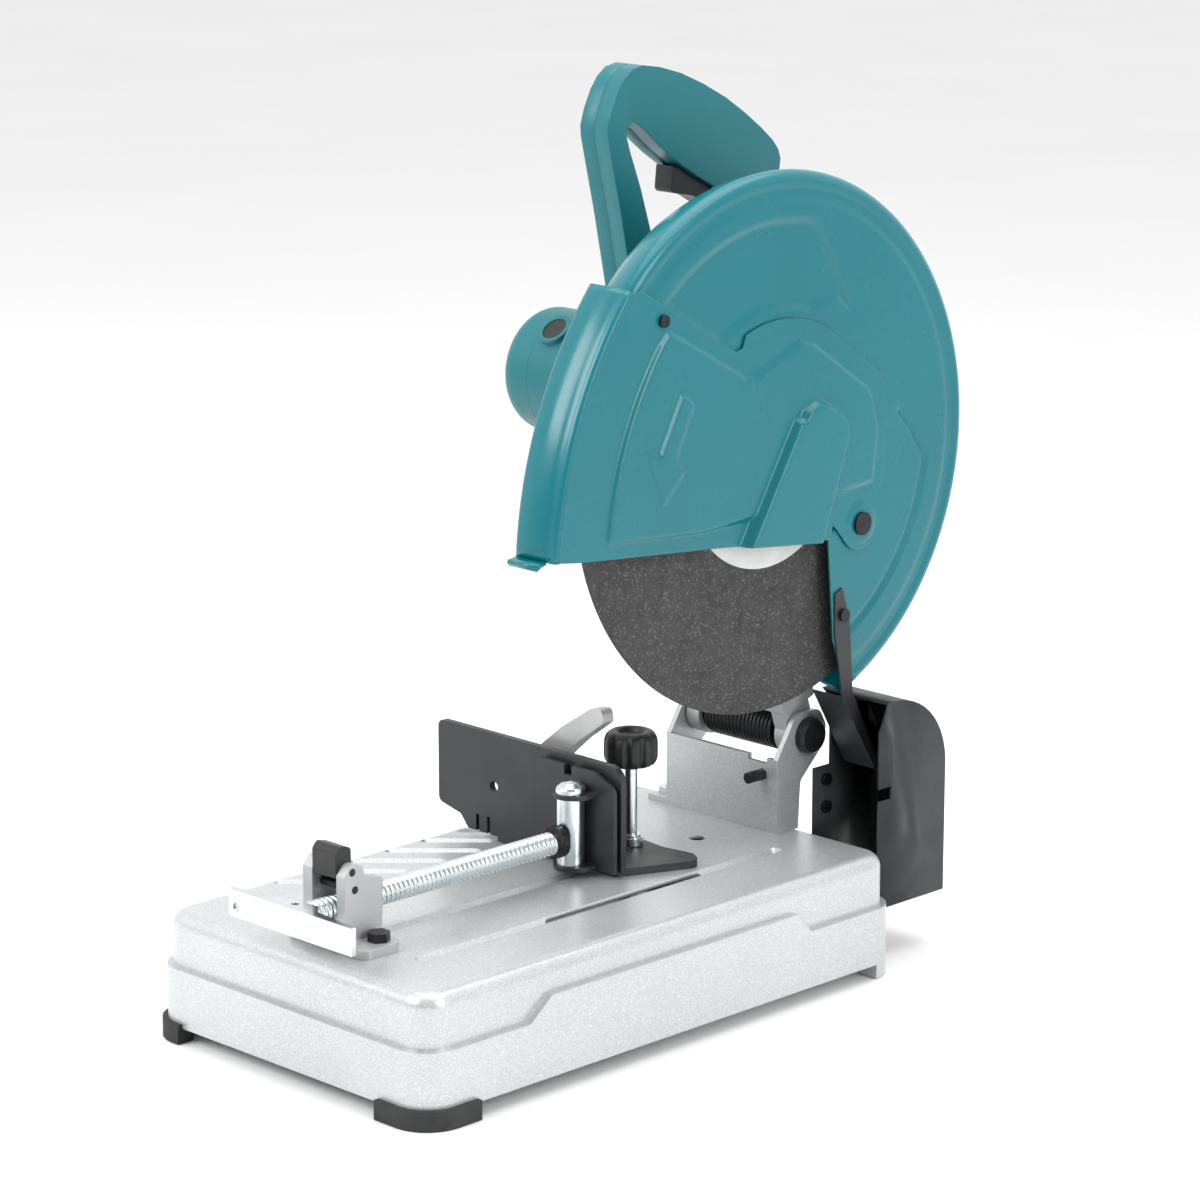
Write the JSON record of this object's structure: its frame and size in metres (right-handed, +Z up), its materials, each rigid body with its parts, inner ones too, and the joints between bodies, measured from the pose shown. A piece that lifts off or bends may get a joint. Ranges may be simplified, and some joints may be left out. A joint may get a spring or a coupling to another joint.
{
  "type": "abrasive chop saw",
  "caption": "Bench chop saw for metal: a swinging head carries a guarded abrasive wheel down through a slotted pressed table with a quick-release vise.",
  "frame": {"origin": "bottom centre of the whole machine's bounding box, on the floor", "axes": "+X to the operator's right, +Y to the back, +Z up"},
  "size_m": [0.276, 0.5684, 0.622],
  "materials": {
    "silver_paint": "satin silver",
    "black_rubber": "matte",
    "zinc_sheet": "satin",
    "zinc_steel": "zinc plated",
    "dark_steel": "black oxide",
    "black_sheet": "satin black",
    "cast_grey": "cast",
    "black_plastic": "matte",
    "sintered_bush": "sintered",
    "steel": "machined",
    "carbon": "matte",
    "fan_plastic": "matte",
    "teal_plastic": "satin",
    "teal_paint": "gloss",
    "abrasive": "gritty",
    "label_paper": "matte",
    "soft_rubber": "matte"
  },
  "bodies": {
    "frame": {"base": "silver_paint", "front_feet": "black_rubber", "pivot_bracket": "zinc_sheet", "bracket_bolts": "zinc_steel", "pivot_shaft": "dark_steel", "shaft_clip": "zinc_steel", "return_spring": "dark_steel", "spark_guard": "black_sheet", "spark_guard_screws": "dark_steel", "vise_block": "cast_grey", "block_bolts": "dark_steel", "nut_pins": "dark_steel", "guide_bolt": "zinc_steel"},
    "head": {"arm_bushes": "sintered_bush", "gear_case": "cast_grey", "wheel_guard": "teal_paint", "guard_screws": "zinc_steel", "spark_deflector": "black_sheet", "deflector_screw": "dark_steel", "cover_pivot_screw": "dark_steel", "motor_housing": "teal_plastic", "motor_end_cap": "teal_plastic", "field_core": "steel", "brush_caps": "black_plastic", "carbon_brushes": "carbon", "motor_bearings": "steel", "spindle_bearings": "steel", "handle_left": "teal_plastic", "handle_right": "teal_plastic", "handle_screws": "zinc_steel", "switch": "black_plastic", "cord_inlet": "soft_rubber"},
    "cover": {"safety_cover": "teal_paint", "cover_lock_screw": "dark_steel"},
    "spindle_set": {"spindle": "steel", "spindle_gear": "steel", "inner_flange": "steel", "outer_flange": "steel", "arbor_bolt": "dark_steel", "abrasive_wheel": "abrasive", "wheel_label": "label_paper"},
    "rotor": {"armature": "steel", "fan": "fan_plastic"},
    "lock_pin": {"shaft_lock": "black_plastic"},
    "trigger_lever": {"trigger": "black_plastic"},
    "lock_off": {"lock_off_button": "black_plastic"},
    "vise_carriage": {"trunnion": "zinc_steel", "trunnion_bolt": "dark_steel", "screw_collar": "dark_steel"},
    "vise_turning": {"vise_screw": "zinc_steel", "vise_crank": "zinc_steel", "crank_pin": "dark_steel"},
    "jaw": {"vise_jaw": "black_sheet"},
    "half_nut": {"flip_nut": "black_plastic"},
    "guide": {"guide_plate": "black_sheet"},
    "lever": {"clamp_lever": "cast_grey"},
    "knob": {"clamp_screw": "zinc_steel", "clamp_knob": "black_plastic"},
    "hold_pin": {"stop_pin": "dark_steel"}
  },
  "joints": [
    {"name": "head_tilt", "type": "hinge", "parent": "frame", "child": "head", "pos_m": [0, 0.165, 0.152], "axis": [1, 0, 0], "range_deg": [0, 45], "stiffness_Nm_per_rad": 16, "springref_deg": -42.97},
    {"name": "cover_lift", "type": "hinge", "parent": "head", "child": "cover", "pos_m": [0.082, 0.174, 0.308], "axis": [1, 0, 0], "range_deg": [-50, 0]},
    {"name": "spindle_spin", "type": "hinge", "parent": "head", "child": "spindle_set", "pos_m": [0.068, 0.093, 0.366], "axis": [1, 0, 0], "continuous": true},
    {"name": "rotor_spin", "type": "hinge", "parent": "head", "child": "rotor", "pos_m": [0, 0.06111, 0.4058], "axis": [1, 0, 0], "continuous": true},
    {"name": "shaft_lock_press", "type": "slide", "parent": "head", "child": "lock_pin", "axis": [0, -1, 0], "range_m": [0, 0.004], "stiffness_N_per_m": 300, "springref_m": -0.002},
    {"name": "trigger_pull", "type": "hinge", "parent": "head", "child": "trigger_lever", "pos_m": [-0.032, 0.13511, 0.5398], "axis": [1, 0, 0], "range_deg": [-6, 0], "stiffness_Nm_per_rad": 1.5, "springref_deg": 8.59},
    {"name": "lock_off_press", "type": "slide", "parent": "head", "child": "lock_off", "axis": [0, -0.72, -0.694], "range_m": [0, 0.003], "stiffness_N_per_m": 300, "springref_m": -0.002},
    {"name": "vise_slide", "type": "slide", "parent": "frame", "child": "vise_carriage", "axis": [0, -1, 0], "range_m": [0, 0.155]},
    {"name": "vise_screw_turn", "type": "hinge", "parent": "vise_carriage", "child": "vise_turning", "pos_m": [0.0095, -0.2, 0.112], "axis": [0, 1, 0], "continuous": true},
    {"name": "jaw_swivel", "type": "hinge", "parent": "vise_carriage", "child": "jaw", "pos_m": [0.0095, -0.032, 0.12], "axis": [0, 0, 1], "range_deg": [-3, 3]},
    {"name": "half_nut_flip", "type": "hinge", "parent": "frame", "child": "half_nut", "pos_m": [0.0095, -0.2425, 0.138], "axis": [1, 0, 0], "range_deg": [0, 60]},
    {"name": "guide_angle", "type": "hinge", "parent": "frame", "child": "guide", "pos_m": [-0.061, 0.004, 0.1], "axis": [0, 0, 1], "range_deg": [0, 12]},
    {"name": "clamp_lever_turn", "type": "hinge", "parent": "frame", "child": "lever", "pos_m": [-0.061, 0.004, 0.1], "axis": [0, 0, 1], "range_deg": [-8, 4]},
    {"name": "clamp_knob_turn", "type": "hinge", "parent": "frame", "child": "knob", "pos_m": [0.002, 0.033, 0.12], "axis": [0, 0, 1], "continuous": true},
    {"name": "hold_pin_slide", "type": "slide", "parent": "frame", "child": "hold_pin", "axis": [0, -1, 0], "range_m": [0, 0.008]}
  ],
  "couplings": [
    {"joint": "rotor_spin", "follows": "spindle_spin", "ratio": -5.375},
    {"joint": "cover_lift", "follows": "head_tilt", "ratio": -0.5}
  ]
}
